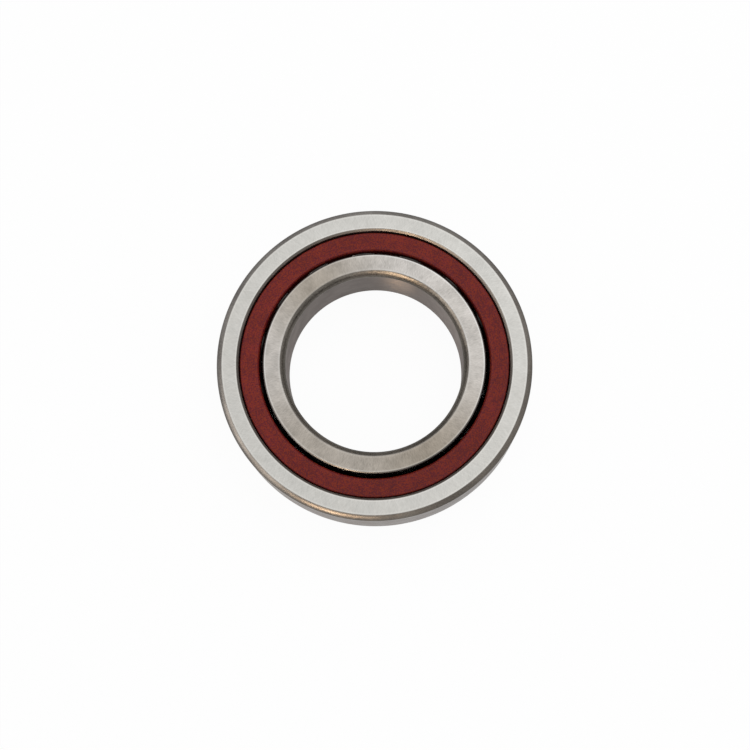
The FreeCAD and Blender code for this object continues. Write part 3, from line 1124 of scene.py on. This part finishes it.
    def build_end(self, mesh: bmesh.types.BMesh, turn: float, points: list[Point], side: int) -> None:
        """Builds one pocket's share of an end face with its chamfers.

        Args:
            mesh: The mesh that is being built.
            turn: The pocket's angle round the axis.
            points: The upper end's section.
            side: 1 for the upper end and -1 for the lower one.
        """
        eighth = self.points_round // 8
        angles = [a for a, _ in self.around_patch(1.0)[eighth : 3 * eighth + 1]]
        for (r1, z1), (r2, z2) in zip(points, points[1:]):
            for a1, a2 in zip(angles, angles[1:]):
                mesh.faces.new([
                    self.corner(mesh, radius, turn + angle, self.middle + side * (height - self.middle))
                    for radius, angle, height in ((r1, a1, z1), (r1, a2, z1), (r2, a2, z2), (r2, a1, z2))
                ])

    def build(self) -> bpy.types.Object:
        """Builds the cage pocket by pocket, and lets it stand for its solid.

        Returns:
            The cage.
        """
        mesh = bmesh.new()
        points, _ = self.end_section().outline()
        outside, inside = (point[1] - self.middle for point in (points[0], points[-1]))
        for number in range(len(self.row.nodes)):
            turn = self.first_pocket + 2 * self.half_step * number
            self.build_pocket(mesh, turn, outside, inside)
            for side in (1, -1):
                self.build_end(mesh, turn, points, side)
        piece = finished_object("cage_machined", mesh, [LaminateFinish().build()])
        self.corners.clear()
        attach(piece, "cage")
        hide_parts("cage")
        return piece


# --- The studio -------------------------------------------------------------------------------------

WHITE = (1.0, 1.0, 1.0, 1.0)
SEEN_THROUGH = ("Is Glossy Ray", "Is Transmission Ray")  # rays that see the surround in or through a thing


@dataclass(frozen=True)
class Lamp:
    """A square lamp that points at the bearing. Its light is the brightness of its own surface."""

    name: str
    azimuth: float
    elevation: float
    distance: float
    size: float
    light: float
    colour: Colour = (1.0, 1.0, 1.0)
    in_reflections: bool = True
    on_surfaces: bool = True

    def build(self) -> bpy.types.Object:
        """Hangs the lamp.

        Returns:
            The lamp.
        """
        data = bpy.data.lights.new(self.name, "AREA")
        data.shape = "SQUARE"
        data.size = self.size
        data.energy = self.light * math.pi * self.size**2
        data.color = self.colour
        lamp = bpy.data.objects.new(self.name, data)
        azimuth, elevation = math.radians(self.azimuth), math.radians(self.elevation)
        away = Vector((
            math.cos(azimuth) * math.cos(elevation),
            math.sin(azimuth) * math.cos(elevation),
            math.sin(elevation),
        ))
        lamp.location = away * self.distance
        lamp.rotation_euler = away.to_track_quat("Z", "Y").to_euler()
        lamp.visible_camera = False
        lamp.visible_glossy = self.in_reflections
        lamp.visible_diffuse = self.on_surfaces
        bpy.context.scene.collection.objects.link(lamp)
        return lamp


@dataclass(frozen=True)
class Studio:
    """A white floor under soft light, seen from above."""

    floor_size: float = 4.0
    floor_gap: float = 0.01 * MM
    floor_colour: Colour = (0.93, 0.93, 0.93)
    floor_seen: float = 0.955
    floor_reflected: float = 0.8
    sky_low: float = 0.5
    sky_high: float = 0.75
    camera_distance: float = 293.29 * MM
    camera_tilt: float = math.radians(10.855)
    camera_roll: float = math.radians(-5.911)
    camera_aim: Point = (-0.099 * MM, -2.573 * MM)
    lens: float = 72.0
    sensor_width: float = 36.0
    clip: Point = (0.01, 20.0)
    lamps: tuple[Lamp, ...] = (
        Lamp(
            "overhead", azimuth=50.0, elevation=60.0, distance=0.7, size=0.5, light=1.8,
            in_reflections=False,
        ),
        Lamp(
            "warm_side", azimuth=244.0, elevation=14.0, distance=0.5, size=0.16, light=16.0,
            colour=(1.0, 0.74, 0.50), on_surfaces=False,
        ),
        Lamp(
            "bright_side", azimuth=48.0, elevation=68.0, distance=0.45, size=0.24, light=0.30,
            on_surfaces=False,
        ),
        Lamp(
            "left_side", azimuth=200.0, elevation=20.0, distance=0.6, size=0.45, light=2.2,
            colour=(1.0, 0.92, 0.84), on_surfaces=False,
        ),
    )

    def seen(self, tree: bpy.types.NodeTree) -> Socket:
        """Tells what is seen, straight, in a reflection or through glass, from the light on things.

        Args:
            tree: The tree that asks.

        Returns:
            A share of 1 for what is seen, and 0 for the light.
        """
        path = add_node(tree, "ShaderNodeLightPath")
        share = path.outputs["Is Camera Ray"]
        for name in SEEN_THROUGH:
            both = {0: share, 1: path.outputs[name]}
            share = add_node(tree, "ShaderNodeMath", both, operation="MAXIMUM").outputs[0]
        return share

    def build_floor(self, hidden: Point) -> bpy.types.Object:
        """Lays the floor, which keeps a faint shadow and gives no light of its own under the bearing.

        Args:
            hidden: The radii between which the bearing covers the floor.

        Returns:
            The floor.
        """
        mesh = bmesh.new()
        bmesh.ops.create_grid(mesh, x_segments=1, y_segments=1, size=self.floor_size / 2)
        data = bpy.data.meshes.new("floor")
        mesh.to_mesh(data)
        mesh.free()
        material = bpy.data.materials.new("floor_white")
        tree = empty_tree(material)
        painted = add_node(tree, "ShaderNodeBsdfDiffuse", {"Color": (*self.floor_colour, 1.0)})
        own = add_node(tree, "ShaderNodeEmission")
        looks = {0: self.floor_share(tree, hidden), 1: painted.outputs[0], 2: own.outputs[0]}
        mixed = add_node(tree, "ShaderNodeMixShader", looks)
        add_node(tree, "ShaderNodeOutputMaterial", {"Surface": mixed.outputs[0]})
        data.materials.append(material)
        floor = bpy.data.objects.new("floor", data)
        floor.location.z = -self.floor_gap
        bpy.context.scene.collection.objects.link(floor)
        return floor

    def floor_share(self, tree: bpy.types.NodeTree, hidden: Point) -> Socket:
        """How much of the floor's white is its own, for the eye and for reflections.

        Args:
            tree: The floor's node tree.
            hidden: The radii between which the bearing covers the floor.

        Returns:
            The share.
        """
        def sum_of(*values: Socket | float) -> Socket:
            """The first value times the second, plus the third."""
            inputs = dict(enumerate(values))
            return add_node(tree, "ShaderNodeMath", inputs, operation="MULTIPLY_ADD").outputs[0]

        path = add_node(tree, "ShaderNodeLightPath")
        share = sum_of(path.outputs["Is Camera Ray"], self.floor_seen, 0.0)
        for name in SEEN_THROUGH:
            share = sum_of(path.outputs[name], self.floor_reflected, share)
        place = add_node(tree, "ShaderNodeTexCoord").outputs["Object"]
        reach = add_node(tree, "ShaderNodeVectorMath", {0: place}, operation="LENGTH").outputs["Value"]
        inner, outer = hidden
        band = {0: reach, 1: (inner + outer) / 2, 2: (outer - inner) / 2}
        covered = add_node(tree, "ShaderNodeMath", band, operation="COMPARE").outputs[0]
        return sum_of(share, sum_of(covered, -1.0, 1.0), 0.0)

    def build_sky(self) -> bpy.types.World:
        """Makes a white surround that lights things softly, more from above than from the sides.

        Returns:
            The world.
        """
        world = bpy.data.worlds.new("white_surround")
        tree = empty_tree(world)
        place = add_node(tree, "ShaderNodeTexCoord").outputs["Generated"]
        split = add_node(tree, "ShaderNodeSeparateXYZ", {0: place})
        ends = {"Value": split.outputs["Z"], "To Min": self.sky_low, "To Max": self.sky_high}
        rise = add_node(tree, "ShaderNodeMapRange", ends).outputs["Result"]
        soft = add_node(tree, "ShaderNodeBackground", {"Color": WHITE, "Strength": rise})
        white = add_node(tree, "ShaderNodeBackground", {"Color": WHITE})
        looks = {0: self.seen(tree), 1: soft.outputs[0], 2: white.outputs[0]}
        mixed = add_node(tree, "ShaderNodeMixShader", looks)
        add_node(tree, "ShaderNodeOutputWorld", {"Surface": mixed.outputs[0]})
        bpy.context.scene.world = world
        return world

    def build_camera(self, face_height: float) -> bpy.types.Object:
        """Places the camera over the front edge, looking down at the faces.

        Args:
            face_height: The height of the plane that it looks at.

        Returns:
            The camera.
        """
        data = bpy.data.cameras.new("camera")
        data.lens = self.lens
        data.sensor_width = self.sensor_width
        data.clip_start, data.clip_end = self.clip
        camera = bpy.data.objects.new("camera", data)
        back = Vector((0.0, -math.sin(self.camera_tilt), math.cos(self.camera_tilt)))
        camera.location = Vector((0.0, 0.0, face_height)) + back * self.camera_distance
        aim = Vector((*self.camera_aim, face_height)) - camera.location
        camera.rotation_mode = "QUATERNION"
        camera.rotation_quaternion = aim.to_track_quat("-Z", "Y") @ Quaternion((0, 0, 1), self.camera_roll)
        bpy.context.scene.collection.objects.link(camera)
        bpy.context.scene.camera = camera
        return camera

    def build(self, face_height: float, hidden: Point) -> None:
        """Builds the floor, the surround, the lamps and the camera.

        Args:
            face_height: The height of the bearing's upper faces.
            hidden: The radii between which the bearing covers the floor.
        """
        self.build_floor(hidden)
        self.build_sky()
        for lamp in self.lamps:
            lamp.build()
        self.build_camera(face_height)
        bpy.context.scene.view_settings.view_transform = "Standard"


# --- Putting it together ----------------------------------------------------------------------------


def mount_radius(name: str) -> float:
    """The radius of one of the record's round mounts."""
    mount = next(m for m in frame["record"]["mounts"] if m["name"] == name)
    return mount["dims"]["r_mm"] * MM


def report(piece: bpy.types.Object) -> None:
    """Logs what a finished piece holds."""
    log.info("%s: %d faces, %d materials", piece.name, len(piece.data.polygons), len(piece.data.materials))


def main() -> None:
    """Builds the studio and the bearing, piece by piece."""
    logging.basicConfig(level=logging.INFO, format="%(name)s: %(message)s")
    row = BallRow.from_frame()
    ring_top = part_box("outer_ring")[1].z
    bore, seat = mount_radius("bore"), mount_radius("housing_seat")
    Studio().build(ring_top, (bore + CORNER_REACH, seat - CORNER_REACH))
    outer = OuterRing(row, seat, ring_top)
    report(outer.build())
    inner = InnerRing(row, bore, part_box("inner_ring")[1].z)
    report(inner.build())
    low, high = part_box("cage")
    inside, outside = inner.land_radius + CAGE_INNER_CLEARANCE, outer.land_radius - CAGE_GUIDE_CLEARANCE
    cage = Cage(row, inside, outside, low.z, high.z)
    report(cage.build())
    row.dress()


if __name__ == "__main__":
    main()
